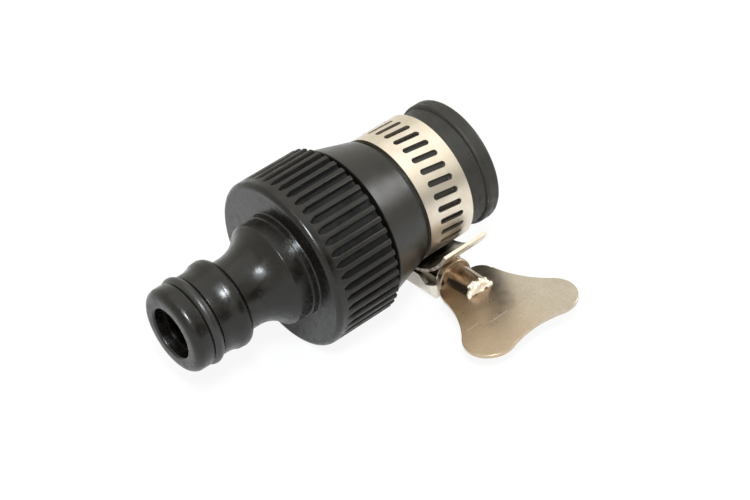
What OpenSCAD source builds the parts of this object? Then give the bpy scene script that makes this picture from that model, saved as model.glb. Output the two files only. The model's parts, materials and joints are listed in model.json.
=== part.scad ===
// Tap adapter: a click-fit hose nipple with a ribbed screw collar, a threaded ring that holds a
// rubber sleeve for the spout of a tap, and a worm-drive band clamp with a wing key.
// The fitting's own axis runs from the sleeve's mouth to the nipple's nose, and the origin is on
// it, in the middle of the clamp band. The adapter lies as it comes to rest: on the front rim of
// the collar and on the clamp's housing, nose down.

/* [Click-fit nipple] */
// Radius of the nose that enters the hose coupling
nose_r = 8.0; // [7.6:0.1:8.3]
// Length of the nose in front of the seal groove
nose_len = 3.4; // [2.6:0.1:5]
// Rounding of the nose's front edge
nose_round = 1.6; // [0.4:0.1:2]
// Radius of the water way at the nose
bore_r = 4.8; // [4:0.1:5.2]
// Length of the water way's wide mouth
mouth_len = 2.2; // [1:0.1:4]
// Radius of the water way behind its mouth
throat_r = 4.1; // [3:0.1:4.5]
// Width of the groove for the seal ring
groove_w = 2.4; // [2.1:0.1:3]
// Thickness of the seal ring's cord
seal_d = 2.2; // [1.8:0.1:2.3]
// Outer radius of the seal ring
seal_r = 8.4; // [8.2:0.1:8.6]
// Length of the catch behind the seal ring
catch_len = 6.3; // [5.6:0.1:7.5]
// Largest radius of the catch
catch_r = 8.45; // [8.2:0.05:8.7]
// Radius of the catch next to the seal ring
catch_front_r = 7.75; // [7.4:0.05:8]
// Length of the straight land next to the seal ring
catch_land = 1.3; // [0.8:0.1:2]
// Radius of the hollow ramp up to the catch
catch_ramp = 5.5; // [4:0.1:8]
// Rounding of the catch's rear edge
catch_round = 1.5; // [0.5:0.1:1.7]
// Radius of the neck that the coupling's claws close on
neck_r = 6.65; // [6.3:0.05:6.9]
// Length of the straight neck
neck_len = 3.2; // [2:0.1:6]
// Length of the flare behind the neck
flare_len = 5.2; // [3.5:0.1:6]
// Radius of the hub that the flare ends in
hub_r = 9.7; // [9:0.1:11]
// Length of the hub
hub_len = 3.0; // [1.5:0.1:5]
// Radius of the low plinth round the hub
plinth_r = 10.3; // [10:0.1:12]
// Height of the plinth above the collar's rim
plinth_h = 0.3; // [0.1:0.05:0.8]

/* [Screw collar] */
// Outer radius of the ribbed collar
collar_r = 16.3; // [15.8:0.1:18]
// Length of the collar from its rear rim to its front face
collar_len = 14; // [13:0.5:18]
// Rounding of the collar's front edge
collar_round = 0.9; // [0.3:0.1:1.5]
// How far the front face falls from its rim to the plinth
face_dish = 0.5; // [0:0.1:1]
// Number of grip grooves round the collar
grip_count = 46; // [24:1:52]
// Width of a grip groove
grip_w = 1.15; // [0.6:0.05:1.3]
// Depth of a grip groove
grip_depth = 0.8; // [0.3:0.1:1]
// Smooth band in front of the grip grooves
grip_front = 2.1; // [1.5:0.1:3]
// Smooth rim behind the grip grooves
grip_rear = 0.9; // [0.5:0.1:2]
// Wall between the sleeve's flange and the collar's front face
front_wall = 2.7; // [2:0.1:3.5]
// Bevel inside the collar's rear rim
collar_bevel = 0.8; // [0.2:0.1:1]

/* [Screw thread] */
// Outer radius of the pipe thread
thread_r = 13.2; // [12.8:0.1:13.6]
// Depth of the thread from crest to root
thread_depth = 1.16; // [0.8:0.02:1.4]
// Lead of the thread, its rise in one turn
thread_lead = 1.814; // [1.5:0.001:2.5]
// Clearance between the thread's crest and the collar's bore
thread_gap = 0.15; // [0.05:0.05:0.3]

/* [Threaded ring] */
// Length of the ring's bare cone
cone_len = 8.7; // [6:0.1:14]
// Radius of the cone at the collar
cone_front_r = 15.0; // [14:0.1:16]
// Radius of the cone at the clamp
cone_rear_r = 12.5; // [12.2:0.1:13.5]
// Gap between the cone and the collar
collar_gap = 1.0; // [0.3:0.1:2]
// Gap between the cone and the clamp's ears
ear_gap = 0.15; // [0.1:0.05:1]
// Rounding of the ring's edges
ring_round = 0.45; // [0.1:0.05:0.6]
// Radius of the ring's hole
ring_hole_r = 10.75; // [10.4:0.05:11]

/* [Rubber sleeve] */
// Outer radius of the sleeve under the clamp
sleeve_r = 11.75; // [11.3:0.05:12]
// Radius of the socket for the spout of a tap
socket_r = 8.6; // [7:0.1:9.5]
// Depth of the socket
socket_depth = 17.5; // [12:0.5:22]
// Radius of the water way in front of the socket
sleeve_way_r = 7.2; // [5:0.1:7.5]
// Radius of the bead round the mouth
lip_r = 12.6; // [12.2:0.1:14]
// Length of the bead round the mouth
lip_len = 3.2; // [2:0.1:5]
// Rounding of the bead's outer edges
lip_round = 0.7; // [0.2:0.1:0.9]
// Bare stretch between the bead and the clamp
bare_len = 3.6; // [1:0.1:8]
// Bevel inside the mouth
mouth_bevel = 1.0; // [0.3:0.1:2]
// Radius of the flange that seals inside the collar
flange_r = 12.0; // [11.5:0.1:12.6]
// Thickness of that flange
flange_t = 2.6; // [1.5:0.1:3.5]
// Rounding of the flange's front edge
flange_round = 0.4; // [0.1:0.1:0.8]

/* [Clamp band] */
// Width of the band
band_w = 10; // [9.5:0.1:11]
// Thickness of the band
band_t = 0.6; // [0.4:0.05:0.8]
// Length of a slot in the band
slot_len = 5.3; // [4:0.1:6]
// Width of a slot
slot_w = 1.15; // [0.8:0.05:1.4]
// Angle from one slot to the next
slot_step = 11.6; // [10:0.1:14]
// Angle that the slots are turned from the axis, as the worm's thread needs
slot_skew = 8; // [0:0.5:10]
// Angle of the middle of one slot, up from the wing's side
slot_start = 45.3; // [35:0.1:55]
// Length of the straight stretch where the tail leaves the loop
tail_straight = 2.1; // [1.9:0.1:2.6]
// Radius that the tail is sprung to
tail_bend = 14.3; // [14:0.1:18]
// Angle round the tail's own centre where it ends, down from the wing's side
tail_end = 28; // [20:1:45]
// Angle left bare between the tail's end and its last slot
tail_bare = 8; // [6:0.5:14]
// Rounding of the tail's free corners
tail_corner = 2.2; // [0.5:0.1:3]

/* [Worm drive] */
// Distance from the sleeve's axis down to the screw's axis
screw_drop = 15.05; // [15.05:0.05:15.5]
// Radius of the worm's core
worm_r = 1.8; // [1.4:0.1:1.8]
// Radius of the screw's flange
flange_disc_r = 3.75; // [3.4:0.05:3.9]
// Thickness of the screw's flange
flange_disc_t = 1.1; // [0.6:0.1:1.5]
// Gap between the flange and the wing's root
wing_gap = 0.5; // [0.3:0.1:1.5]
// Radius of the slotted shank that holds the wing
shank_r = 2.9; // [2.4:0.1:3.2]
// Length of the slotted shank
shank_len = 6.2; // [4:0.1:9]
// Radius of the screw's front neck
neck_pin_r = 2.2; // [2:0.1:2.5]
// Radius of the screw's rear pin
rear_pin_r = 1.4; // [1:0.1:1.6]
// How far the rear pin stands out of the housing
pin_reach = 0.6; // [0.2:0.1:1.2]
// Rounding of the ends of the screw's flange and shank
screw_round = 0.3; // [0.1:0.05:0.5]
// Running clearance of the screw in its housing
screw_fit = 0.06; // [0.02:0.01:0.1]

/* [Clamp housing] */
// Thickness of the housing's sheet
sheet_t = 0.8; // [0.6:0.1:1]
// Half of the housing's width
house_half_w = 4.6; // [4.3:0.1:4.8]
// Depth of the housing below the screw's axis
house_depth = 4.3; // [4.1:0.1:5.5]
// Rounding of the housing's bottom corners
house_round = 3.0; // [1:0.1:3.4]
// How far the housing reaches towards the wing
house_front = 10; // [10:0.1:11]
// How far the housing reaches away from the wing
house_rear = 5.6; // [4:0.1:8]
// Rounding of the housing's front at its sides and below
front_round = 2.6; // [1.4:0.1:2.9]
// How far the side walls stop below the band's tail
wall_drop = 0.95; // [0.3:0.05:1.5]
// How much lower the side walls are next to the front wall
front_dip = 1.5; // [0.5:0.1:1.9]
// Place along the screw where the side walls begin to fall
dip_start = 6.2; // [5:0.1:7]
// Length of the ears folded over the band's edges
ear_len = 4; // [3:0.1:4.4]
// Thickness of an ear
ear_t = 0.6; // [0.4:0.05:0.8]
// How far an ear reaches in under the band
ear_fold = 1.7; // [1:0.1:2.5]
// Wall left over the screw's two bearings
bearing_wall = 0.8; // [0.5:0.1:1]

/* [Wing key] */
// Width over the two lobes
wing_w = 24.7; // [20:0.1:30]
// Length of the wing from its root to the end of the lobes
wing_len = 21.6; // [20:0.1:28]
// Thickness of the wing's sheet
wing_t = 0.8; // [0.6:0.1:1.4]
// Height of the wing's middle plane over the screw's axis
wing_rise = 0.4; // [0:0.1:0.8]
// Width of the wing's root
wing_root_w = 11.7; // [9.5:0.1:12]
// Radius of a lobe's end
lobe_r = 4.9; // [4:0.1:6]
// Rounding of the root's corners
root_round = 2.8; // [2.6:0.1:4]
// Depth of the hollow between the lobes
notch_depth = 1.2; // [0.5:0.1:2.5]

/* [Hidden] */
$fn = 96;

// Small clearance between pieces that seat on one another, reach of a cut, and a hair's step
// where two curved stretches meet
seat = 0.05;
over = 0.5;
step = 0.01;

// Stations along the fitting's axis, from the sleeve's mouth
band_x = lip_len + bare_len;
band_mid = band_x + band_w / 2;
ring_x = band_x + band_w + seat + ear_t + ear_gap;
shoulder_x = ring_x + cone_len;
collar_x = shoulder_x + collar_gap;
front_x = collar_x + collar_len;
hub_x = front_x + plinth_h;
flare_x = hub_x + hub_len;
neck_x = flare_x + flare_len;
catch_x = neck_x + neck_len;
groove_x = catch_x + catch_len;
nose_x = groove_x + groove_w;
tip_x = nose_x + nose_len;

// The sleeve's flange is pinched between the ring's end and the seat inside the collar
seat_x = front_x - front_wall;
flange_x = seat_x - seat - flange_t;
ring_end_x = flange_x - seat;

// Radii that follow from the pieces they hold
flare_bend = (pow(hub_r - neck_r, 2) + pow(flare_len, 2)) / (2 * (hub_r - neck_r));
thread_core_r = thread_r - thread_depth / 2;
collar_bore_r = thread_r + thread_gap;
sleeve_neck_r = ring_hole_r - 2 * seat;
groove_r = seal_r - seal_d - seat;
funnel_r = sleeve_way_r + 8 * seat;
band_in_r = sleeve_r + seat;
band_out_r = band_in_r + band_t;
band_mid_r = band_in_r + band_t / 2;

// The loop of the band starts inside the housing and leaves its circle along a straight
loop_start = -81;
loop_leave = -105;
slot_clear_near = 12;
slot_clear_far = 8;
leave_y = tail_straight * cos(loop_leave + 90);
leave_z = tail_straight * sin(loop_leave + 90);
tail_y = (band_mid_r - tail_bend) * cos(loop_leave) + leave_y;
tail_z = (band_mid_r - tail_bend) * sin(loop_leave) + leave_z;

// Places along the screw's axis, towards the wing
screw_flange_y = house_front + seat;
shank_y = screw_flange_y + flange_disc_t;
shank_end_y = shank_y + shank_len;
wing_y = shank_y + wing_gap;
wing_z = wing_rise - screw_drop;
worm_front_y = house_front - sheet_t - seat;
worm_rear_y = -house_rear + sheet_t + seat;

// The housing's open top stops below the band's tail, and its ears fold over the band
house_top = screw_drop - band_out_r - band_t - wall_drop;
dip_z = house_top - front_dip;
ear_in = band_w / 2 + seat;
ear_out = ear_in + ear_t;
ear_under = screw_drop - band_in_r * cos(asin(ear_len / 2 / band_in_r)) + seat;
ear_top = ear_under + ear_t;

// The wing's arcs, each a tangent to the next
root_half = wing_root_w / 2;
lobe_u = wing_w / 2 - lobe_r;
lobe_v = wing_len - lobe_r;
flank_r = (pow(root_half - lobe_u, 2) + pow(lobe_v, 2) - pow(lobe_r, 2))
    / (2 * (lobe_r - root_half + lobe_u));
notch_bend = (pow(lobe_r - notch_depth, 2) + pow(lobe_u, 2) - pow(lobe_r, 2))
    / (2 * notch_depth);

// Pitch at which it lies: both round contacts touch one level floor
contact_x = front_x - collar_round - band_mid - house_half_w + house_round;
contact_z = screw_drop + house_depth - house_round - collar_r + collar_round;
rest_pitch = atan2(contact_z, contact_x)
    + asin((house_round - collar_round) / norm([contact_x, contact_z]));

// The fitting as it lies, nose down by the pitch, with the clamp's middle at the origin
module lying() {
    rotate([0, rest_pitch, 0]) translate([-band_mid, 0, 0]) children();
}

// Turns a profile, drawn as radius and station, round the fitting's axis
module turned() {
    rotate([0, 90, 0]) rotate_extrude() children();
}

// Turns a profile, drawn as radius and station, round the screw's axis
module turned_on_screw() {
    translate([band_mid, 0, -screw_drop]) rotate([-90, 0, 0]) rotate_extrude() children();
}

// A plain block of a profile between two radii and two stations
module block(r0, r1, x0, x1) {
    translate([r0, x0]) square([r1 - r0, x1 - x0]);
}

// What rounding a profile's outer corner takes away; side is 1 at a front edge, -1 at a rear one
module corner_waste(r, x, radius, side) {
    translate([r - radius, x - side * radius]) difference() {
        translate([0, side > 0 ? 0 : -radius - over]) square(radius + over);
        circle(radius, $fn = 48);
    }
}

// Nipple and collar

module nose_profile() {
    difference() {
        block(throat_r, nose_r, nose_x, tip_x);
        corner_waste(nose_r, tip_x, nose_round, 1);
    }
}

module catch_profile() {
    land_x = groove_x - catch_land;
    difference() {
        block(throat_r, catch_r, catch_x, groove_x);
        corner_waste(catch_r, catch_x, catch_round, -1);
        translate([catch_front_r + catch_ramp, land_x]) circle(catch_ramp, $fn = 96);
        block(catch_front_r, catch_r + over, land_x, groove_x + over);
    }
}

module flare_profile() {
    difference() {
        block(throat_r, hub_r, flare_x, neck_x);
        translate([neck_r + flare_bend, neck_x]) circle(flare_bend + step / 2, $fn = 96);
    }
}

module collar_profile() {
    difference() {
        union() {
            block(throat_r, collar_r, collar_x, front_x);
            block(throat_r, plinth_r, collar_x, hub_x);
        }
        corner_waste(collar_r, front_x, collar_round, 1);
        polygon([[plinth_r, front_x - face_dish], [collar_r - collar_round, front_x],
                 [collar_r - collar_round, front_x + over], [plinth_r, front_x + over]]);
        block(0, collar_bore_r, collar_x - over, seat_x);
        polygon([[collar_bore_r - over, collar_x - over],
                 [collar_bore_r + collar_bevel, collar_x - over],
                 [collar_bore_r + collar_bevel, collar_x],
                 [collar_bore_r - over, collar_x + collar_bevel + over]]);
    }
}

module cap_profile() {
    difference() {
        union() {
            nose_profile();
            block(throat_r, groove_r, groove_x - over, nose_x + over);
            catch_profile();
            block(throat_r, neck_r, neck_x - over, catch_x + over);
            flare_profile();
            block(throat_r, hub_r, front_x - over, flare_x);
            collar_profile();
        }
        block(0, bore_r, tip_x - mouth_len, tip_x + over);
        polygon([[0, seat_x - over], [funnel_r, seat_x - over], [funnel_r, front_x],
                 [throat_r - seat, neck_x], [0, neck_x]]);
    }
}

module grip_grooves() {
    groove_len = collar_len - grip_front - grip_rear;
    for (i = [0 : grip_count - 1])
        rotate([i * 360 / grip_count, 0, 0])
            translate([collar_x + grip_rear, -grip_w / 2, collar_r - grip_depth])
                cube([groove_len, grip_w, grip_depth + over]);
}

module connector_cap() {
    color("#232323") lying() difference() {
        turned() cap_profile();
        grip_grooves();
    }
}

module nipple_seal_ring() {
    color("#161616") lying() turned()
        translate([seal_r - seal_d / 2, groove_x + groove_w / 2]) circle(seal_d / 2, $fn = 48);
}

// Threaded ring

module threaded_ring() {
    color("#2b2b2b") lying() turned() difference() {
        union() {
            difference() {
                polygon([[ring_hole_r, ring_x], [cone_rear_r, ring_x], [cone_front_r, shoulder_x],
                         [ring_hole_r, shoulder_x]]);
                corner_waste(cone_rear_r, ring_x, ring_round, -1);
                corner_waste(cone_front_r, shoulder_x, ring_round, 1);
            }
            block(ring_hole_r, thread_core_r, shoulder_x - over, ring_end_x);
        }
        corner_waste(thread_core_r, ring_end_x, ring_round, 1);
    }
}

// Rubber sleeve

module sleeve_profile() {
    difference() {
        union() {
            block(0, lip_r, 0, lip_len);
            block(0, sleeve_r, 0, ring_x - seat);
            block(0, sleeve_neck_r, ring_x - over, flange_x + over);
            block(0, flange_r, flange_x, flange_x + flange_t);
        }
        corner_waste(lip_r, 0, lip_round, -1);
        corner_waste(lip_r, lip_len, lip_round, 1);
        corner_waste(flange_r, flange_x + flange_t, flange_round, 1);
        block(0, socket_r, -over, socket_depth);
        polygon([[0, -over], [socket_r + mouth_bevel + over, -over], [socket_r, mouth_bevel],
                 [0, mouth_bevel]]);
        block(0, sleeve_way_r, socket_depth - over, flange_x + flange_t + over);
    }
}

// The rubber gives way under the housing's two folded ears
module ear_pockets() {
    fit = 2 * seat;
    translate([band_mid, -ear_len / 2 - fit, -screw_drop])
        for (side = [-1, 1]) mirror([side < 0 ? 1 : 0, 0, 0])
            translate([ear_out - ear_fold - fit, 0, 0])
                cube([ear_fold + 3 * fit, ear_len + 2 * fit, ear_top + fit]);
}

module rubber_sleeve() {
    color("#1b1b1b") lying() difference() {
        turned() sleeve_profile();
        ear_pockets();
    }
}

// Clamp band

// What lies between two directions from a centre, less than half a turn apart
module wedge(from, to, reach) {
    middle = (from + to) / 2;
    half = (to - from) / 2;
    far = reach / cos(half);
    polygon([[0, 0], far * [cos(from), sin(from)], 2 * far * [cos(middle), sin(middle)],
             far * [cos(to), sin(to)]]);
}

module flat_ring(r0, r1) {
    difference() {
        circle(r1, $fn = 192);
        circle(r0, $fn = 192);
    }
}

module band_outline() {
    difference() {
        flat_ring(band_in_r, band_out_r);
        wedge(loop_leave, loop_start, band_out_r + over);
    }
    rotate(loop_leave) translate([band_in_r + step, -seat])
        square([band_t - 2 * step, tail_straight + 2 * seat]);
    translate([tail_y, tail_z]) intersection() {
        flat_ring(tail_bend - band_t / 2, tail_bend + band_t / 2);
        wedge(loop_leave, -tail_end, tail_bend + band_t);
    }
}

// Cuts through one layer of the band and stays clear of the next
module slot_cutter(radius) {
    translate([0, 0, radius - band_t]) rotate([0, 0, -slot_skew]) linear_extrude(2 * band_t) {
        translate([(slot_w - slot_len) / 2, -slot_w / 2]) square([slot_len - slot_w, slot_w]);
        for (side = [-1, 1])
            translate([side * (slot_len - slot_w) / 2, 0]) circle((slot_w + step) / 2, $fn = 24);
    }
}

// The last slot before the housing, and the first after it, on the loop's own circle
module loop_slots() {
    first = ceil((loop_start + slot_clear_near - slot_start) / slot_step);
    last = floor((360 + loop_leave - slot_clear_far - slot_start) / slot_step);
    for (i = [first : last])
        rotate([slot_start + i * slot_step - 90, 0, 0]) slot_cutter(band_mid_r);
}

// The tail's slots end where the screw's own flange hides it
module tail_slots() {
    tail_step = slot_step * band_mid_r / tail_bend;
    hidden = asin(worm_front_y / tail_bend);
    count = floor((90 - tail_end - tail_bare - hidden) / tail_step);
    for (i = [0 : count])
        translate([0, tail_y, tail_z])
            rotate([-tail_end - tail_bare - i * tail_step - 90, 0, 0]) slot_cutter(tail_bend);
}

// Rounds the free corners of the tail's end
module tail_corners() {
    translate([0, tail_y, tail_z]) rotate([-tail_end - 90, 0, 0])
        for (side = [-1, 1])
            translate([side * (band_w / 2 - tail_corner), tail_corner, tail_bend - 2])
                mirror([side < 0 ? 1 : 0, 0, 0]) linear_extrude(4) difference() {
                    translate([0, -tail_corner - over]) square(tail_corner + over);
                    circle(tail_corner, $fn = 32);
                }
}

module clamp_band() {
    color("#d6cdbf") lying() translate([band_mid, 0, 0]) difference() {
        translate([-band_w / 2, 0, 0]) rotate([90, 0, 90]) linear_extrude(band_w) band_outline();
        loop_slots();
        tail_slots();
        tail_corners();
    }
}

// Worm housing

module house_section(half_w, depth, round) {
    difference() {
        translate([-half_w, -depth]) square([2 * half_w, depth + house_top]);
        for (side = [-1, 1])
            translate([side * (half_w - round), -depth + round]) difference() {
                translate([side > 0 ? 0 : -round - over, -round - over]) square(round + over);
                circle(round, $fn = 64);
            }
    }
}

// Extrudes a section along the screw's axis between two places
module along_screw(y0, y1) {
    translate([band_mid, y1, -screw_drop]) rotate([90, 0, 0]) linear_extrude(y1 - y0) children();
}

module ear_section() {
    for (side = [-1, 1]) mirror([side < 0 ? 1 : 0, 0]) {
        translate([house_half_w - sheet_t, house_top - sheet_t])
            square([ear_out - house_half_w + sheet_t, sheet_t]);
        translate([ear_in, house_top - sheet_t]) square([ear_t, ear_top - house_top + sheet_t]);
        translate([ear_out - ear_fold, ear_under]) square([ear_fold, ear_t]);
    }
}

// The housing's outside, or with an inset its hollow, drawn in round at the front
module house_shape(inset) {
    half_w = house_half_w - inset;
    depth = house_depth - inset;
    front = house_front - inset;
    bend = front_round - inset;
    lid = inset > 0 ? over : 0;
    difference() {
        along_screw(inset - house_rear, front) {
            house_section(half_w, depth, house_round - inset);
            translate([-half_w, 0]) square([2 * half_w, house_top + lid]);
        }
        translate([band_mid, 0, -screw_drop - house_depth - over])
            linear_extrude(house_depth + house_top + 3 * over)
                for (side = [-1, 1]) mirror([side < 0 ? 1 : 0, 0])
                    corner_waste(half_w, front, bend, 1);
        across_screw(house_half_w + over) corner_waste(depth, front, bend, 1);
    }
}

// What lies over the lowered front of the side walls, drawn as depth and place along the screw
module front_opening() {
    across_screw(house_half_w + over)
        polygon([[-house_top - over, dip_start - over], [-dip_z, dip_start + front_dip],
                 [-dip_z, house_front + over], [-house_top - over, house_front + over]]);
}

// Extrudes a shape, drawn as depth and place along the screw, to both sides of the screw
module across_screw(half) {
    translate([band_mid - half, 0, -screw_drop]) rotate([0, 90, 0]) linear_extrude(2 * half)
        children();
}

module worm_housing() {
    color("#cfc8bb") lying() difference() {
        union() {
            difference() {
                house_shape(0);
                house_shape(sheet_t);
                front_opening();
            }
            along_screw(house_front - sheet_t, house_front) bearing_eye(neck_pin_r);
            along_screw(-house_rear, -house_rear + sheet_t) bearing_eye(rear_pin_r);
            along_screw(-ear_len / 2, ear_len / 2) ear_section();
        }
        screw_hole(neck_pin_r + screw_fit, house_front - sheet_t, house_front);
        screw_hole(rear_pin_r + screw_fit, -house_rear, -house_rear + sheet_t);
    }
}

// An eye in an end wall, closed over the screw
module bearing_eye(pin_r) {
    circle(pin_r + screw_fit + bearing_wall, $fn = 64);
}

module screw_hole(radius, y0, y1) {
    translate([band_mid, y0 - over, -screw_drop]) rotate([-90, 0, 0])
        cylinder(h = y1 - y0 + 2 * over, r = radius);
}

// Worm screw

module worm_screw() {
    color("#c9bfb0") lying() difference() {
        turned_on_screw() difference() {
            union() {
                block(0, rear_pin_r, -house_rear - pin_reach, worm_front_y);
                block(0, worm_r, worm_rear_y, worm_front_y);
                block(0, neck_pin_r, worm_front_y, screw_flange_y + over);
                block(0, flange_disc_r, screw_flange_y, shank_y);
                block(0, shank_r, shank_y - over, shank_end_y);
            }
            corner_waste(flange_disc_r, shank_y, screw_round, 1);
            corner_waste(shank_r, shank_end_y, screw_round, 1);
        }
        translate([band_mid - shank_r - over, wing_y - seat, wing_z - wing_t / 2 - seat])
            cube([2 * (shank_r + over), shank_end_y - wing_y + 2 * over, wing_t + 2 * seat]);
    }
}

// Wing key

// Half of the wing's outline: u across from its middle, v along from its root. The hollow flank
// leaves the root's side at a tangent, and each lobe meets it and the notch at a tangent.
module wing_half() {
    flank_u = root_half + flank_r;
    notch_v = wing_len - notch_depth + notch_bend;
    lean = [flank_u - lobe_u, -lobe_v] / (flank_r + lobe_r);
    rise = [-lobe_u, notch_v - lobe_v] / (notch_bend + lobe_r);
    difference() {
        union() {
            polygon([[0, 0], [root_half, 0], [lobe_u + lobe_r * lean[0], lobe_v + lobe_r * lean[1]],
                     [lobe_u, lobe_v], [lobe_u + lobe_r * rise[0], lobe_v + lobe_r * rise[1]],
                     [0, lobe_v + lobe_r * rise[1]]]);
            translate([lobe_u, lobe_v]) circle(lobe_r, $fn = 96);
        }
        translate([flank_u, 0]) circle(flank_r + step / 2, $fn = 192);
        translate([root_half - root_round, root_round]) difference() {
            translate([0, -root_round - over]) square(root_round + over);
            circle(root_round, $fn = 48);
        }
        translate([0, notch_v]) circle(notch_bend + step / 2, $fn = 192);
    }
}

module wing_key() {
    color("#cdbfae") lying() translate([band_mid, wing_y, wing_z - wing_t / 2])
        linear_extrude(wing_t) for (side = [-1, 1]) mirror([side < 0 ? 1 : 0, 0]) wing_half();
}

connector_cap();
nipple_seal_ring();
threaded_ring();
rubber_sleeve();
clamp_band();
worm_housing();
worm_screw();
wing_key();
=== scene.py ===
import json
import math

import bpy
from mathutils import Matrix, Vector


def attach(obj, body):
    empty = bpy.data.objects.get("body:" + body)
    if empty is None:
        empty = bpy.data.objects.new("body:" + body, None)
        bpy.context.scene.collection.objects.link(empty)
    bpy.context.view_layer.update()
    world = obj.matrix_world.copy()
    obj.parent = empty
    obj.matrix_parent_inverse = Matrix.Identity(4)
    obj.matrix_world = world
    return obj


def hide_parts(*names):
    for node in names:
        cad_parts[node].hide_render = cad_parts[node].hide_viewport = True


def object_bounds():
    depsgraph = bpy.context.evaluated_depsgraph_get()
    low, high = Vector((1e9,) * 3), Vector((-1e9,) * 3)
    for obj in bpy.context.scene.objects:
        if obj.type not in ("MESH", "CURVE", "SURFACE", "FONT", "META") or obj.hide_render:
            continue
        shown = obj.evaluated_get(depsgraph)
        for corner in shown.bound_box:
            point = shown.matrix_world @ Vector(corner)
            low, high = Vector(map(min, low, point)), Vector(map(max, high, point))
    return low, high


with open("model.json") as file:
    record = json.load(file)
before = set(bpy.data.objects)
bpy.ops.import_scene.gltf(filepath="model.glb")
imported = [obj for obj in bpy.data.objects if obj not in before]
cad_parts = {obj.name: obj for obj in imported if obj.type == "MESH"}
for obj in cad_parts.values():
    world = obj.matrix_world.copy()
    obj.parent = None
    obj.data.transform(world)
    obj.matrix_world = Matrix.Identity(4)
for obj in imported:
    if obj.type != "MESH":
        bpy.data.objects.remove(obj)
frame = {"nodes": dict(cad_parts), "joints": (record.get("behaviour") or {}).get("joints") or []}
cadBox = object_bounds()
print("frame loaded, box", [round(v, 4) for corner in cadBox for v in corner])

# the fitting's own axis runs from the clamp's middle to the nose, pitched down as it lies
joints = {joint["name"]: joint for joint in frame["joints"]}
noseWay = Vector(joints["cap_travel"]["axis"])
pitch = math.atan2(-noseWay.z, noseWay.x)
screwSpot = Vector(joints["screw_turn"]["pos_m"])
lieDown = Matrix.Rotation(pitch, 3, "Y")
bandMiddle = 11.8  # from the sleeve's mouth to the origin, in millimetres


def onFitting(along, aside, up):  # millimetres along the axis, towards the wing and up from it
    return lieDown @ Vector((along, aside, up)) * 0.001



class Mask:  # a socket that can be added, multiplied and so on like a number
    def __init__(self, finish, socket):
        self.finish = finish
        self.socket = socket

    def maths(self, operation, first, second=0.0):
        made = self.finish.add("ShaderNodeMath", {"operation": operation}, {0: first, 1: second})
        return Mask(self.finish, made.outputs[0])

    def __add__(self, other):
        return self.maths("ADD", self, other)

    def __radd__(self, other):
        return self.maths("ADD", other, self)

    def __sub__(self, other):
        return self.maths("SUBTRACT", self, other)

    def __rsub__(self, other):
        return self.maths("SUBTRACT", other, self)

    def __mul__(self, other):
        return self.maths("MULTIPLY", self, other)

    def __rmul__(self, other):
        return self.maths("MULTIPLY", other, self)

    def __truediv__(self, other):
        return self.maths("DIVIDE", self, other)

    def __rtruediv__(self, other):
        return self.maths("DIVIDE", other, self)

    def __pow__(self, other):
        return self.maths("POWER", self, other)

    def least(self, other):
        return self.maths("MINIMUM", self, other)

    def most(self, other):
        return self.maths("MAXIMUM", self, other)

    def size(self):
        return self.maths("ABSOLUTE", self)

    def wave(self):
        return self.maths("SINE", self)

    def step(self, low, high):  # smooth 0 to 1 between two values
        made = self.finish.add("ShaderNodeMapRange", {"interpolation_type": "SMOOTHSTEP"},
                               {"Value": self, "From Min": low, "From Max": high})
        return Mask(self.finish, made.outputs[0])


class Finish:  # one material with its nodes
    def __init__(self, name, **fixed):
        self.material = bpy.data.materials.new(name)
        self.material.use_nodes = True
        self.tree = self.material.node_tree
        self.shader = self.tree.nodes["Principled BSDF"]
        for socket, value in fixed.items():
            self.shader.inputs[socket.replace("_", " ")].default_value = value
        place = self.add("ShaderNodeTexCoord", {}, {}).outputs["Object"]
        turned = self.add("ShaderNodeMapping", {}, {"Vector": place, "Rotation": (0, -pitch, 0),
                                                    "Scale": (1000, 1000, 1000)})
        self.spot = turned.outputs[0]  # millimetres in the fitting's own frame
        parts = self.add("ShaderNodeSeparateXYZ", {}, {0: self.spot})
        self.along, self.aside, self.up = (Mask(self, parts.outputs[i]) for i in range(3))
        facing = self.add("ShaderNodeTexCoord", {}, {}).outputs["Normal"]
        self.facingUp = Mask(self, self.add("ShaderNodeSeparateXYZ", {}, {0: facing}).outputs[2])

    def add(self, kind, settings, values):
        node = self.tree.nodes.new(kind)
        for name, value in settings.items():
            if name == "stops":
                ramp = node.color_ramp
                while len(ramp.elements) < len(value):
                    ramp.elements.new(0.5)
                for element, (position, colour) in zip(ramp.elements, value):
                    element.position = position
                    element.color = colour
            else:
                setattr(node, name, value)
        for name, value in values.items():
            socket = node.inputs[name]
            if isinstance(value, Mask):
                self.tree.links.new(value.socket, socket)
            elif isinstance(value, bpy.types.NodeSocket):
                self.tree.links.new(value, socket)
            else:
                socket.default_value = value
        return node

    def noise(self, scale, detail=3.0, rough=0.5, vector=None, distortion=0.0):
        made = self.add("ShaderNodeTexNoise", {}, {"Vector": vector or self.spot, "Scale": scale,
                                                   "Detail": detail, "Roughness": rough,
                                                   "Distortion": distortion})
        return Mask(self, made.outputs[0])

    def stretched(self, x, y, z):  # the fitting's frame, stretched for grain and streaks
        return self.add("ShaderNodeMapping", {}, {"Vector": self.spot,
                                                  "Scale": (x, y, z)}).outputs[0]

    def vector(self, x, y, z):
        return self.add("ShaderNodeCombineXYZ", {}, {0: x, 1: y, 2: z}).outputs[0]

    def radius(self):
        return (self.aside * self.aside + self.up * self.up) ** 0.5

    def blend(self, mask, first, second):
        made = self.add("ShaderNodeMix", {"data_type": "RGBA"}, {0: mask, 6: first, 7: second})
        return made.outputs[2]

    def feed(self, socket, value):
        if isinstance(value, Mask):
            value = value.socket
        self.tree.links.new(value, self.shader.inputs[socket])

    def bump(self, height, strength, distance):
        made = self.add("ShaderNodeBump", {}, {"Height": height, "Strength": strength,
                                               "Distance": distance})
        self.feed("Normal", made.outputs[0])


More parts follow.
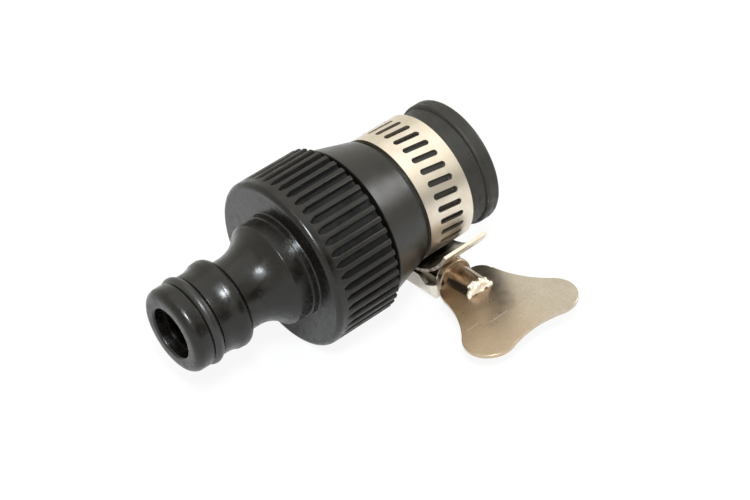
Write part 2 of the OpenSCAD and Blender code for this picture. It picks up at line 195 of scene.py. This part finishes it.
def dress(piece, finish):
    piece.data.materials.clear()
    piece.data.materials.append(finish.material)

capLook = {"deep": (0.0024, 0.0019, 0.0014, 1), "worn": (0.0075, 0.0060, 0.0044, 1), "gloss": 0.17,
           "faceGloss": 0.11, "ribGloss": 0.33}
capFinish = Finish("capPlastic", IOR=1.42)
cloud = capFinish.noise(0.35, 3.0)
grain = capFinish.noise(6.0, 4.0, 0.6)
scuffs = capFinish.noise(2.2, 5.0, 0.7, capFinish.stretched(0.35, 1.0, 1.0))
capRadius = capFinish.radius()
ribs = capRadius.step(14.9, 15.1) * (1 - capFinish.along.step(27.2, 28.2))
ribTops = ribs * capRadius.step(15.75, 16.15)
# painted shade: the grip's grooves get a near-black colour and more roughness, standing in for the shade between
# the ribs
shadedGrooves = ribs * (1 - capRadius.step(15.5, 16.1))
capTone = capFinish.blend(cloud * 0.5 + ribTops * 0.5, capLook["deep"], capLook["worn"])
capFinish.feed("Base Color", capFinish.blend(shadedGrooves, capTone, (0.0004, 0.0004, 0.0004, 1)))
onFace = capRadius.step(9.9, 10.1) * capFinish.along.step(28.3, 28.6) * (1 - capRadius.step(15.3, 15.8))
capPatches = capFinish.noise(0.55, 5.0, 0.65)
capFinish.feed("Roughness", capLook["gloss"] + 0.20 * capPatches.step(0.38, 0.68) + 0.06 * grain
               + (capLook["faceGloss"] - capLook["gloss"]) * onFace
               + (capLook["ribGloss"] - capLook["gloss"]) * ribs + 0.10 * scuffs.step(0.58, 0.72)
               + 0.4 * shadedGrooves)
capFinish.bump(grain + 0.8 * capPatches + 0.5 * ribs * scuffs, 0.22, 0.00006)

sealFinish = Finish("sealRubber", Roughness=0.34)
sealGrain = sealFinish.noise(5.0, 4.0)
sealFinish.feed("Base Color", sealFinish.blend(sealGrain, (0.006, 0.006, 0.006, 1),
                                               (0.014, 0.013, 0.012, 1)))
sealFinish.bump(sealGrain, 0.1, 0.00003)

ringFinish = Finish("ringPlastic", IOR=1.44)
ringCloud = ringFinish.noise(0.3, 3.0)
ringGrain = ringFinish.noise(7.0, 4.0, 0.6)
ringFinish.feed("Base Color", ringFinish.blend(ringCloud, (0.0040, 0.0036, 0.0028, 1),
                                               (0.0110, 0.0095, 0.0070, 1)))
ringFinish.feed("Roughness", 0.20 + 0.16 * ringCloud + 0.06 * ringGrain)
ringWave = ringFinish.noise(0.16, 2.0, 0.5)
ringFinish.bump(0.25 * ringGrain + ringWave * 2.5, 0.5, 0.0001)

rubberFinish = Finish("sleeveRubber", IOR=1.40)
rubberCloud = rubberFinish.noise(0.4, 4.0)
rubberGrain = rubberFinish.noise(5.0, 5.0, 0.65)
rubberFinish.feed("Base Color", rubberFinish.blend(rubberCloud, (0.0085, 0.0080, 0.0066, 1),
                                                   (0.0240, 0.0215, 0.0172, 1)))
rubberWear = rubberFinish.noise(0.9, 5.0, 0.7, rubberFinish.stretched(1.6, 0.5, 0.5))
onEdge = rubberFinish.radius().step(12.0, 12.2) * (1 - rubberFinish.along.step(-11.6, -11.0))
rubberFinish.feed("Roughness", 0.30 + 0.2 * rubberGrain + 0.28 * rubberWear.step(0.35, 0.65)
                  - 0.10 * onEdge)
rubberFinish.bump(rubberGrain + 0.9 * rubberWear, 0.35, 0.00009)


def steelFinish(name, pale, deep, gloss, grainWay=(6.0, 0.5, 0.5), relief=0.10):
    made = Finish(name, Metallic=1.0)
    drift = made.noise(0.25, 3.0)
    fine = made.noise(4.0, 5.0, 0.6, made.stretched(*grainWay))
    made.feed("Base Color", made.blend((drift * 0.7 + fine * 0.5).step(0.3, 0.9), pale, deep))
    made.feed("Roughness", gloss + 0.12 * fine + 0.06 * drift)
    made.bump(fine, relief, 0.00003)
    return made


bandFinish = steelFinish("bandSteel", (0.74, 0.68, 0.59, 1), (0.60, 0.52, 0.42, 1), 0.27, (6.0, 0.4, 0.4))
houseFinish = steelFinish("houseSteel", (0.93, 0.89, 0.81, 1), (0.70, 0.64, 0.55, 1), 0.24)
# painted reflection: dark brown streaks on the band's lower part near the housing stand in for a dark reflection
# in the steel
bandReflectionStreaks = bandFinish.noise(0.9, 3.0, 0.6, bandFinish.stretched(0.25, 1.0, 1.0))
reflectionNearHousing = (1 - bandFinish.up.step(-9.8, -5.2)) * bandFinish.aside.step(3.0, 6.5)
plain = bandFinish.shader.inputs["Base Color"].links[0].from_socket
bandFinish.feed("Base Color", bandFinish.blend(0.85 * reflectionNearHousing * bandReflectionStreaks.step(0.46, 0.58), plain,
                                               (0.17, 0.125, 0.085, 1)))
for inner, lowest in ((bandFinish, -19.0), (houseFinish, -19.0)):  # painted shade inside the clamp: inner faces of the band and housing darkened
    inside = (inner.facingUp.step(0.1, 0.5) * (1 - inner.up.step(-12.2, -11.2)) * inner.up.step(lowest, lowest + 1)
              * inner.aside.step(-7.0, -5.0) * (1 - inner.aside.step(6.2, 8.6)))
    plain = inner.shader.inputs["Base Color"].links[0].from_socket
    inner.feed("Base Color", inner.blend(0.93 * inside, plain, (0.035, 0.030, 0.026, 1)))
screwFinish = steelFinish("screwSteel", (0.52, 0.42, 0.32, 1), (0.17, 0.115, 0.07, 1), 0.16, (0.4, 5.0, 0.4))
wingLook = {"pale": (0.55, 0.49, 0.41, 1), "warm": (0.50, 0.385, 0.27, 1), "dark": (0.24, 0.18, 0.125, 1),
            "grain": (0.34, 0.275, 0.205, 1), "bare": (0.82, 0.77, 0.68, 1)}
wingFinish = steelFinish("wingSteel", wingLook["pale"], (0.46, 0.405, 0.33, 1), 0.19, (0.6, 3.0, 0.6), 0.06)
wingDrift = wingFinish.noise(0.55, 4.0, 0.6)
# painted shade: the wing turns browner and darker towards the nose side, standing in for how the light falls
# across the plate
shadedNoseSide = (wingFinish.along + 5.0 * (wingDrift - 0.5)).step(-8.0, 6.0)
# painted reflection: a dark patch at the wing's root stands in for the shank's reflection in the plate
fromRoot = ((wingFinish.along - 0.2) ** 2.0 + (wingFinish.aside - 21.0) ** 2.0 * 0.45) ** 0.5
shankReflection = 1 - (fromRoot + 5.0 * (wingDrift - 0.5)).step(1.4, 4.4)
plain = wingFinish.shader.inputs["Base Color"].links[0].from_socket
warmed = wingFinish.blend(0.9 * shadedNoseSide, plain, wingLook["warm"])
wingGrain = wingFinish.noise(3.2, 6.0, 0.72, wingFinish.stretched(0.6, 1.3, 1.0))
grained = wingFinish.blend(0.40 * wingGrain.step(0.42, 0.66), warmed, wingLook["grain"])
darkened = wingFinish.blend(0.42 * shankReflection, grained, wingLook["dark"])
scratchMask = ((1 - (wingFinish.aside - 25.55).size().step(0.04, 0.13)) * wingFinish.along.step(0.4, 0.9)
               * (1 - wingFinish.along.step(4.2, 4.9))
               + (1 - (wingFinish.aside - 24.2).size().step(0.03, 0.11)) * wingFinish.along.step(6.0, 6.6)
               * (1 - wingFinish.along.step(8.7, 9.4)))
wingFinish.feed("Base Color", wingFinish.blend(0.7 * scratchMask, darkened, wingLook["bare"]))
scratch = (wingFinish.noise(1.6, 2.0, 0.5, wingFinish.stretched(1.1, 0.12, 1.0)) - 0.5).size()
wingFinish.feed("Roughness", 0.23 + 0.12 * wingDrift + 0.10 * (1 - scratch.step(0.0, 0.012)))
stakeFinish = steelFinish("stakedSteel", (0.95, 0.90, 0.81, 1), (0.74, 0.60, 0.47, 1), 0.34, (2.0, 2.0, 2.0))
stakeFinish.shader.inputs["Metallic"].default_value = 0.25


def alone(piece):
    bpy.ops.object.select_all(action="DESELECT")
    piece.select_set(True)
    bpy.context.view_layer.objects.active = piece


def editing(piece):
    alone(piece)
    bpy.ops.object.mode_set(mode="EDIT")
    bpy.ops.mesh.select_all(action="DESELECT")
    bpy.ops.object.mode_set(mode="OBJECT")


def pick(piece, vertTest=None, faceTest=None, edgeTest=None):  # select by place, then go on in edit mode
    bpy.ops.object.mode_set(mode="EDIT")
    mode = "VERT" if vertTest else "FACE" if faceTest else "EDGE"
    bpy.ops.mesh.select_mode(type=mode)
    bpy.ops.mesh.select_all(action="DESELECT")
    bpy.ops.object.mode_set(mode="OBJECT")
    mesh = piece.data
    if vertTest:
        for corner in mesh.vertices:
            corner.select = vertTest(corner.co)
    if faceTest:
        for face in mesh.polygons:
            face.select = faceTest(face.center, face.normal)
    if edgeTest:
        for edge in mesh.edges:
            edge.select = edgeTest(mesh.vertices[edge.vertices[0]].co, mesh.vertices[edge.vertices[1]].co)
    bpy.ops.object.mode_set(mode="EDIT")


def applied(piece, kind, **settings):
    alone(piece)
    modifier = piece.modifiers.new(kind.lower(), kind)
    for name, value in settings.items():
        setattr(modifier, name, value)
    bpy.ops.object.modifier_apply(modifier=modifier.name)


def mergedCopy(nodeName, name):  # a CAD node's mesh, joined up, in millimetres and level
    copy = bpy.data.objects.new(name, frame["nodes"][nodeName].data.copy())
    bpy.context.scene.collection.objects.link(copy)
    copy.data.transform(Matrix.Scale(1000, 4) @ lieDown.inverted().to_4x4())
    alone(copy)
    bpy.ops.object.mode_set(mode="EDIT")
    bpy.ops.mesh.select_all(action="SELECT")
    bpy.ops.mesh.remove_doubles(threshold=0.002)
    bpy.ops.object.mode_set(mode="OBJECT")
    return copy


def settle(piece, body, finish, smooth=32):  # back to the row frame, dressed and riding its body
    piece.data.transform(lieDown.to_4x4() @ Matrix.Scale(0.001, 4))
    alone(piece)
    bpy.ops.object.shade_smooth_by_angle(angle=math.radians(smooth))
    dress(piece, finish)
    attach(piece, body)


def arc(centre, radius, start, end, steps=8):  # points as (along, out) pairs, angles from the axis
    swept = []
    for i in range(steps + 1):
        angle = math.radians(start + (end - start) * i / steps)
        swept.append((centre[0] + radius * math.cos(angle), centre[1] + radius * math.sin(angle)))
    return swept


def turnedPiece(name, outline, steps):  # a closed outline, drawn point by point and spun round the axis
    bpy.ops.object.select_all(action="DESELECT")
    bpy.ops.mesh.primitive_plane_add(size=0.01, location=(outline[0][0], 0, outline[0][1]))
    piece = bpy.context.object
    piece.name = name
    bpy.ops.object.transform_apply(location=True, rotation=True, scale=True)
    bpy.ops.object.mode_set(mode="EDIT")
    bpy.ops.mesh.select_mode(type="VERT")
    bpy.ops.mesh.select_all(action="SELECT")
    bpy.ops.mesh.merge(type="CENTER")
    before = outline[0]
    for point in outline[1:] + outline[:1]:
        bpy.ops.mesh.extrude_region_move(
            TRANSFORM_OT_translate={"value": (point[0] - before[0], 0, point[1] - before[1])})
        before = point
    bpy.ops.mesh.select_all(action="SELECT")
    bpy.ops.mesh.remove_doubles(threshold=0.004)
    bpy.ops.mesh.spin(steps=steps, angle=2 * math.pi, center=(0, 0, 0), axis=(1, 0, 0))
    bpy.ops.mesh.select_all(action="SELECT")
    bpy.ops.mesh.remove_doubles(threshold=0.001)
    bpy.ops.mesh.normals_make_consistent(inside=False)
    bpy.ops.object.mode_set(mode="OBJECT")
    return piece


# the cap's own outline from the nose to the collar's rear, in millimetres from the sleeve's mouth
capShape = {"tip": 65.1, "bore": 4.8, "throat": 4.1, "nose": 8.0, "noseRound": 1.6, "noseRear": 61.7,
            "groove": 6.15, "grooveRear": 59.3, "land": 7.75, "landRear": 58.0, "ramp": 5.5,
            "catch": 8.42, "catchRear": 53.0, "catchRound": 1.5, "neck": 6.75, "neckRear": 50.4,
            "hub": 9.7, "hubFront": 44.6, "plinth": 9.98, "plinthTop": 41.6, "faceLow": 40.3,
            "front": 41.3, "collar": 16.25, "rimRound": 1.1, "gripFront": 39.2, "barrel": 15.2,
            "rear": 27.3, "collarBore": 13.35, "seat": 38.6, "funnel": 7.6}
shape = type("Shape", (), capShape)
flareLength = shape.neckRear - shape.hubFront
flareRise = shape.hub - shape.neck
flareBend = (flareLength ** 2 + flareRise ** 2) / (2 * flareRise)
flareSweep = math.degrees(math.asin(flareLength / flareBend))
rampReach = math.sqrt(shape.ramp ** 2 - (shape.ramp - (shape.catch - shape.land)) ** 2)
rampSweep = math.degrees(math.asin(rampReach / shape.ramp))
outline = [(shape.tip - 2.2, shape.throat), (shape.tip - 2.2, shape.bore)]
outline += arc((shape.tip - 0.45, shape.bore + 0.45), 0.45, -90, 0, 5)
outline += arc((shape.tip - shape.noseRound, shape.nose - shape.noseRound), shape.noseRound, 0, 90, 10)
outline += arc((shape.noseRear + 0.15, shape.nose - 0.15), 0.15, 90, 180, 3)
outline += [(shape.noseRear, shape.groove), (shape.grooveRear, shape.groove)]
outline += arc((shape.grooveRear - 0.15, shape.land - 0.15), 0.15, 0, 90, 3)
outline += arc((shape.landRear, shape.land + shape.ramp), shape.ramp, -90, -90 - rampSweep * 0.93, 8)
outline += arc((shape.catchRear + shape.catchRound, shape.catch - shape.catchRound), shape.catchRound,
               78, 180, 10)
outline += arc((shape.catchRear - 0.12, shape.neck + 0.12), 0.12, 0, -90, 3)
outline += arc((shape.neckRear, shape.neck + flareBend), flareBend, -90, -90 - flareSweep * 0.95, 18)
outline += arc((shape.hubFront - 0.3, shape.hub - 0.3), 0.3, 40, 90, 4)
outline += arc((shape.plinthTop + 0.14, shape.hub + 0.14), 0.14, -90, -180, 4)
outline += arc((shape.plinthTop - 0.14, shape.plinth - 0.14), 0.14, 0, 90, 3)
outline += arc((shape.faceLow + 0.35, shape.plinth + 0.35), 0.35, -90, -172, 5)
outline += arc((shape.front - shape.rimRound, shape.collar - shape.rimRound), shape.rimRound, 8, 90, 10)
outline += [(shape.gripFront, shape.collar), (shape.gripFront - 0.05, shape.barrel)]
outline += arc((shape.rear + 0.3, shape.barrel - 0.3), 0.3, 90, 180, 3)
outline += [(shape.rear, shape.collarBore + 0.8), (shape.rear + 0.8, shape.collarBore),
            (shape.seat, shape.collarBore), (shape.seat, shape.funnel), (shape.front, shape.funnel),
            (49.8, shape.throat)]
outline = [(station - bandMiddle, out) for station, out in outline]
fineCap = turnedPiece("fineCap", outline, 160)
print("cap turned", len(fineCap.data.vertices))

# one rounded rib of the collar's grip, copied round the barrel
gripLook = {"count": 46, "top": 16.25, "rear": 15.75, "front": 27.75, "width": 0.98, "roundness": 0.26,
            "flare": 2.2}
bpy.ops.object.select_all(action="DESELECT")
ribLength = gripLook["front"] - gripLook["rear"]
bpy.ops.mesh.primitive_cube_add(size=1, location=((gripLook["front"] + gripLook["rear"]) / 2, 0,
                                                  gripLook["top"] - 0.65),
                                scale=(ribLength, gripLook["width"], 1.3))
rib = bpy.context.object
bpy.ops.object.transform_apply(location=True, rotation=True, scale=True)
pick(rib, edgeTest=lambda one, two: min(one.z, two.z) > gripLook["top"] - 0.1
     and (abs(one.y - two.y) < 0.01 or max(one.x, two.x) < gripLook["rear"] + 0.1))
bpy.ops.mesh.bevel(offset=gripLook["roundness"], segments=3, profile=0.5, affect="EDGES")
bpy.ops.mesh.select_all(action="SELECT")
bpy.ops.mesh.bisect(plane_co=(gripLook["front"] - 1.6, 0, 0), plane_no=(1, 0, 0))
bpy.ops.object.mode_set(mode="OBJECT")
pick(rib, vertTest=lambda at: at.x > gripLook["front"] - 0.1)
bpy.ops.transform.resize(value=(1, gripLook["flare"], 1), center_override=(gripLook["front"], 0, 16))
bpy.ops.mesh.select_all(action="SELECT")
bpy.ops.mesh.spin(steps=gripLook["count"] - 1, dupli=True, center=(0, 0, 0), axis=(1, 0, 0),
                  angle=2 * math.pi * (gripLook["count"] - 1) / gripLook["count"])
bpy.ops.object.mode_set(mode="OBJECT")
# the small round mark that the mould leaves on the flare
markLook = {"spot": (37.92, 6.33, 2.42), "way": (0.094, 0.93, 0.355), "radius": 0.52, "thickness": 0.075}
bpy.ops.object.select_all(action="DESELECT")
bpy.ops.mesh.primitive_torus_add(location=markLook["spot"], major_radius=markLook["radius"],
                                 minor_radius=markLook["thickness"], major_segments=32, minor_segments=8,
                                 rotation=Vector(markLook["way"]).to_track_quat("Z", "Y").to_euler())
mouldMark = bpy.context.object
bpy.ops.object.transform_apply(location=True, rotation=True, scale=True)

alone(fineCap)
rib.select_set(True)
mouldMark.select_set(True)
bpy.ops.object.join()
settle(fineCap, "cap", capFinish, 30)
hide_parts("connector_cap")
print("collar's grip cut")

# the sleeve's own outline, with its bead, socket and flange
sleeveShape = {"bead": 12.25, "beadLength": 3.1, "beadRound": 0.75, "wall": 11.62, "ringRear": 17.55,
               "waist": 10.7, "flangeRear": 36.0, "flange": 12.0, "end": 38.6, "way": 7.2, "socketEnd": 17.5,
               "socket": 8.6, "mouth": 9.6}
shape = type("Shape", (), sleeveShape)
outline = [(1.0, shape.socket)]
outline += arc((0.12, shape.mouth + 0.12), 0.12, -90, -180, 3)
outline += arc((shape.beadRound, shape.bead - shape.beadRound), shape.beadRound, 180, 90, 8)
outline += arc((shape.beadLength - shape.beadRound, shape.bead - shape.beadRound), shape.beadRound, 90, 8, 8)
outline += arc((shape.beadLength + 0.25, shape.wall + 0.25), 0.25, -150, -90, 3)
outline += [(shape.ringRear - 0.2, shape.wall), (shape.ringRear, shape.wall - 0.2), (shape.ringRear, shape.waist),
            (shape.flangeRear, shape.waist), (shape.flangeRear, shape.flange), (shape.end - 0.4, shape.flange),
            (shape.end, shape.flange - 0.4), (shape.end, shape.way), (shape.socketEnd, shape.way),
            (shape.socketEnd, shape.socket)]
fineSleeve = turnedPiece("fineSleeve", [(station - bandMiddle, out) for station, out in outline], 144)
settle(fineSleeve, "sleeve", rubberFinish, 30)
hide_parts("rubber_sleeve")

# the ring's pipe thread, one ridge wound round it
threadLook = {"root": 12.5, "crest": 13.16, "lead": 1.814, "start": 27.6, "turns": 5, "half": 0.72}
bpy.ops.object.select_all(action="DESELECT")
bpy.ops.mesh.primitive_plane_add(size=0.01, location=(threadLook["start"] - bandMiddle, 0, threadLook["root"]))
pipeThread = bpy.context.object
pipeThread.name = "pipeThread"
bpy.ops.object.transform_apply(location=True, rotation=True, scale=True)
bpy.ops.object.mode_set(mode="EDIT")
bpy.ops.mesh.select_mode(type="VERT")
bpy.ops.mesh.select_all(action="SELECT")
bpy.ops.mesh.merge(type="CENTER")
rise, half = threadLook["crest"] - threadLook["root"], threadLook["half"]
for step in ((half - 0.12, 0, rise), (0.24, 0, 0), (half - 0.12, 0, -rise), (-half, 0, -0.2), (-half, 0, 0.2)):
    bpy.ops.mesh.extrude_region_move(TRANSFORM_OT_translate={"value": step})
bpy.ops.mesh.select_all(action="SELECT")
bpy.ops.mesh.remove_doubles(threshold=0.004)
bpy.ops.object.mode_set(mode="OBJECT")
applied(pipeThread, "SCREW", axis="X", screw_offset=threadLook["lead"], iterations=threadLook["turns"],
        steps=72, render_steps=72)
bpy.ops.object.mode_set(mode="EDIT")
bpy.ops.mesh.select_all(action="SELECT")
bpy.ops.mesh.fill_holes(sides=0)
bpy.ops.mesh.normals_make_consistent(inside=False)
bpy.ops.object.mode_set(mode="OBJECT")
settle(pipeThread, "sleeve", ringFinish, 30)
print("sleeve and thread turned")

# the steel, with its edges broken
steelPlan = {"worm_housing": ("fineHousing", "sleeve", houseFinish, "house_steel", 0.09),
             "worm_screw": ("fineScrew", "screw", screwFinish, "screw_steel", 0.08),
             "wing_key": ("fineWing", "screw", wingFinish, "wing_steel", 0.16)}
for nodeName, (name, body, finish, slotName, width) in steelPlan.items():
    piece = mergedCopy(nodeName, name)
    bpy.ops.object.mode_set(mode="EDIT")
    bpy.ops.mesh.select_all(action="SELECT")
    bpy.ops.mesh.dissolve_limited(angle_limit=math.radians(0.6))
    bpy.ops.object.mode_set(mode="OBJECT")
    applied(piece, "BEVEL", width=width, segments=2, limit_method="ANGLE", angle_limit=math.radians(40))
    settle(piece, body, finish, 36)
    applied(piece, "WEIGHTED_NORMAL", keep_sharp=True, weight=80)
    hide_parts(nodeName)
print("steel edges broken")

# the shank's end, hammered over the wing
stakeLook = {"radius": 2.8, "start": 16.8, "length": 1.3, "above": 0.62, "rough": 1.15}
bpy.ops.object.select_all(action="DESELECT")
bpy.ops.mesh.primitive_cylinder_add(vertices=40, radius=stakeLook["radius"], depth=stakeLook["length"],
                                    location=(0, stakeLook["start"] + stakeLook["length"] / 2, -15.05),
                                    rotation=(math.pi / 2, 0, 0))
stake = bpy.context.object
stake.name = "stakedEnd"
bpy.ops.object.transform_apply(location=True, rotation=True, scale=True)
bpy.ops.object.mode_set(mode="EDIT")
bpy.ops.mesh.select_all(action="SELECT")
bpy.ops.mesh.bisect(plane_co=(0, 0, -15.05 + stakeLook["above"]), plane_no=(0, 0, -1), use_fill=True,
                    clear_outer=True)
bpy.ops.object.mode_set(mode="OBJECT")
applied(stake, "BEVEL", width=0.3, segments=3, limit_method="ANGLE", angle_limit=math.radians(40))
applied(stake, "REMESH", mode="VOXEL", voxel_size=0.11)
lumps = bpy.data.textures.new("lumps", "CLOUDS")
lumps.noise_scale = 0.75
lumps.noise_depth = 3
applied(stake, "DISPLACE", texture=lumps, strength=stakeLook["rough"], mid_level=0.5)
settle(stake, "screw", stakeFinish, 50)

looks = {"nipple_seal_ring": (sealFinish, "seal_rubber"), "threaded_ring": (ringFinish, "ring_plastic"),
         "clamp_band": (bandFinish, "band_steel")}
for nodeName, (finish, slotName) in looks.items():
    dress(frame["nodes"][nodeName], finish)
print("pieces dressed")

floorLook = {"size": 3.0, "tone": (0.93, 0.93, 0.92, 1), "whiten": 0.90, "mirrored": 0.38}
bpy.ops.object.select_all(action="DESELECT")
bpy.ops.mesh.primitive_plane_add(size=floorLook["size"],
                                 location=(0, 0, cadBox[0][2] - 0.00002))
floor = bpy.context.object
floor.name = "floor"
floorMaterial = bpy.data.materials.new("whitePaper")
floorMaterial.use_nodes = True
floorTree = floorMaterial.node_tree
floorTree.nodes["Principled BSDF"].inputs["Base Color"].default_value = floorLook["tone"]
floorTree.nodes["Principled BSDF"].inputs["Roughness"].default_value = 0.9
rays = floorTree.nodes.new("ShaderNodeLightPath")
share = floorTree.nodes.new("ShaderNodeMath")
share.operation = "MULTIPLY_ADD"
share.inputs[1].default_value = floorLook["whiten"]
floorTree.links.new(rays.outputs["Is Camera Ray"], share.inputs[0])
glance = floorTree.nodes.new("ShaderNodeMath")
glance.operation = "MULTIPLY"
glance.inputs[1].default_value = floorLook["mirrored"]
floorTree.links.new(rays.outputs["Is Glossy Ray"], glance.inputs[0])
floorTree.links.new(glance.outputs[0], share.inputs[2])
white = floorTree.nodes.new("ShaderNodeEmission")
mixed = floorTree.nodes.new("ShaderNodeMixShader")
floorTree.links.new(share.outputs[0], mixed.inputs[0])
floorTree.links.new(floorTree.nodes["Principled BSDF"].outputs[0], mixed.inputs[1])
floorTree.links.new(white.outputs[0], mixed.inputs[2])
floorTree.links.new(mixed.outputs[0], floorTree.nodes["Material Output"].inputs[0])
floor.data.materials.append(floorMaterial)

world = bpy.context.scene.world or bpy.data.worlds.new("studio")
bpy.context.scene.world = world
world.use_nodes = True
worldTree = world.node_tree
backdrop = worldTree.nodes["Background"]
worldLook = {"fill": 0.5, "warmth": (1, 0.985, 0.89, 1), "dark": (108, 12), "darkCore": 8, "darkEdge": 24, "darkLevel": 0.2}
worldRays = worldTree.nodes.new("ShaderNodeLightPath")
azimuth, height = (math.radians(v) for v in worldLook["dark"])
worldPlace = worldTree.nodes.new("ShaderNodeTexCoord")
nearness = worldTree.nodes.new("ShaderNodeVectorMath")
nearness.operation = "DOT_PRODUCT"
nearness.inputs[1].default_value = (math.cos(height) * math.cos(azimuth),
                                    math.cos(height) * math.sin(azimuth), math.sin(height))
worldTree.links.new(worldPlace.outputs["Generated"], nearness.inputs[0])
roomLevel = worldTree.nodes.new("ShaderNodeMapRange")  # the world darkens there, as a black card out of the picture would make it
roomLevel.interpolation_type = "SMOOTHSTEP"
roomLevel.inputs["From Min"].default_value = math.cos(math.radians(worldLook["darkEdge"]))
roomLevel.inputs["From Max"].default_value = math.cos(math.radians(worldLook["darkCore"]))
roomLevel.inputs["To Min"].default_value = 1.0
roomLevel.inputs["To Max"].default_value = worldLook["darkLevel"]
worldTree.links.new(nearness.outputs["Value"], roomLevel.inputs["Value"])
mirrored = worldTree.nodes.new("ShaderNodeMix")
mirrored.inputs[2].default_value = worldLook["fill"]
worldTree.links.new(worldRays.outputs["Is Glossy Ray"], mirrored.inputs[0])
worldTree.links.new(roomLevel.outputs[0], mirrored.inputs[3])
clear = worldTree.nodes.new("ShaderNodeMath")
clear.operation = "MAXIMUM"
worldTree.links.new(worldRays.outputs["Is Camera Ray"], clear.inputs[0])
worldTree.links.new(worldRays.outputs["Is Transmission Ray"], clear.inputs[1])
level = worldTree.nodes.new("ShaderNodeMix")
level.inputs[3].default_value = 1.0
worldTree.links.new(clear.outputs[0], level.inputs[0])
worldTree.links.new(mirrored.outputs[0], level.inputs[2])
worldTree.links.new(level.outputs[0], backdrop.inputs["Strength"])
cast = worldTree.nodes.new("ShaderNodeMix")
cast.data_type = "RGBA"
cast.inputs[6].default_value = worldLook["warmth"]
cast.inputs[7].default_value = (1, 1, 1, 1)
worldTree.links.new(clear.outputs[0], cast.inputs[0])
worldTree.links.new(cast.outputs[2], backdrop.inputs["Color"])


def softbox(name, spot, target, width, height, power):
    bpy.ops.object.light_add(type="AREA", location=spot)
    lamp = bpy.context.object
    lamp.name = name
    lamp.data.shape = "RECTANGLE"
    lamp.data.size = width
    lamp.data.size_y = height
    lamp.data.energy = power
    lamp.rotation_euler = (Vector(target) - Vector(spot)).to_track_quat("-Z", "Y").to_euler()
    return lamp


def away(azimuthDegrees, heightDegrees, distance):
    turned, raised = math.radians(azimuthDegrees), math.radians(heightDegrees)
    return (distance * math.cos(raised) * math.cos(turned), distance * math.cos(raised) * math.sin(turned),
            distance * math.sin(raised))


lampPlan = {
    "keyBox": (away(52, 52, 0.70), (0.02, 0, 0), 0.10, 0.18, 5.0),
    "coneBox": (away(164, 31, 0.70), (0, 0, 0), 0.24, 0.24, 1.5),
    "overhead": ((0.0, -0.1, 1.1), (0, 0, 0), 1.4, 1.4, 4.0),
}
for lampName, (spot, target, width, height, power) in lampPlan.items():
    softbox(lampName, spot, target, width, height, power)
bpy.data.objects["keyBox"].data.color = (0.90, 0.96, 1.0)


cameraSpot = (179.943, 249.348, 227.308)
cameraRight = (-0.75801, 0.63980, -0.12680)
cameraUp = (-0.47622, -0.41005, 0.77787)
cameraBack = (0.44568, 0.65002, 0.61550)
bpy.ops.object.camera_add()
camera = bpy.context.object
camera.name = "photoCamera"
camera.data.lens = 101.48
camera.data.sensor_width = 36
columns = [lieDown @ Vector(way) for way in (cameraRight, cameraUp, cameraBack)]
turn = Matrix(columns).transposed().to_4x4()
turn.translation = onFitting(*cameraSpot)
camera.matrix_world = turn
camera.data.clip_start = 0.01
bpy.context.scene.camera = camera
bpy.context.scene.view_settings.view_transform = "Standard"
print("camera and lights set")
